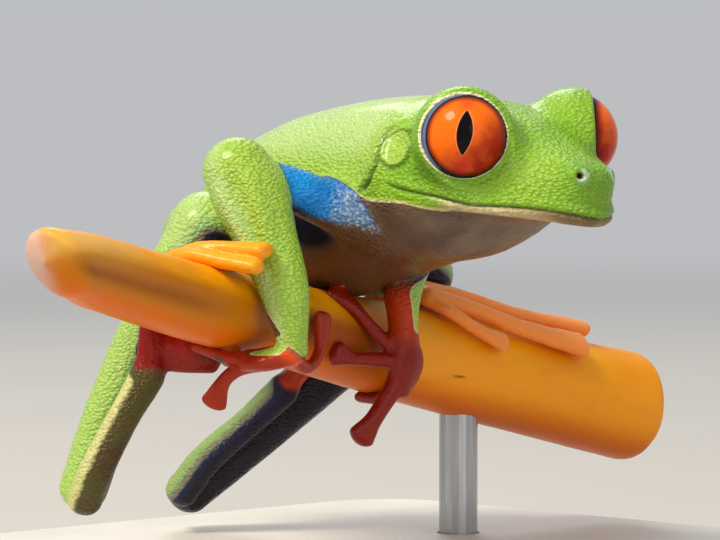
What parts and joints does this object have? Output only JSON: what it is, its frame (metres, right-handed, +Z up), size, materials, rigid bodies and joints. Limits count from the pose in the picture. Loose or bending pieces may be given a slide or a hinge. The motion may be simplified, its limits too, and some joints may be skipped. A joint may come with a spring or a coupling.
{
  "type": "red-eyed tree frog model",
  "caption": "Life-size still model of a red-eyed tree frog gripping a cut length of flower stem, held by a rod on a flat display base.",
  "frame": {"origin": "centre of the display base's flat underside", "axes": "+X the way the frog faces, +Y the frog's left, +Z up"},
  "size_m": [0.06, 0.0705, 0.0383],
  "materials": {
    "skin_head": "moist granular skin, yellow-green above and cream below",
    "skin_trunk": "moist smooth skin, pale green back, blue flanks with cream bars, white belly",
    "skin_limb": "moist granular skin, yellow-green with a cream edge and blue inner face",
    "skin_blue": "moist granular skin, bright blue",
    "skin_thigh": "moist skin, green above and blue-purple below",
    "skin_orange": "moist smooth skin, orange",
    "eye": "wet glossy eye, orange-red iris with an upright black pupil",
    "eardrum": "thin taut skin, green",
    "stem": "waxy yellow-orange plant stem",
    "stand_board": "satin off-white lacquer",
    "stand_metal": "brushed steel rod"
  },
  "bodies": {
    "root": {"head": "skin_head", "trunk": "skin_trunk", "eye_right": "eye", "eye_left": "eye", "tympanum_right": "eardrum", "tympanum_left": "eardrum", "upper_arm_right": "skin_blue", "upper_arm_left": "skin_blue", "forearm_right": "skin_limb", "forearm_left": "skin_limb", "hand_right": "skin_orange", "hand_left": "skin_orange", "thigh_right": "skin_thigh", "thigh_left": "skin_thigh", "shank_right": "skin_limb", "shank_left": "skin_limb", "tarsus_right": "skin_limb", "tarsus_left": "skin_limb", "foot_right": "skin_orange", "foot_left": "skin_orange", "perch_stem": "stem", "stand_base": "stand_board", "stand_rod": "stand_metal"}
  },
  "joints": []
}
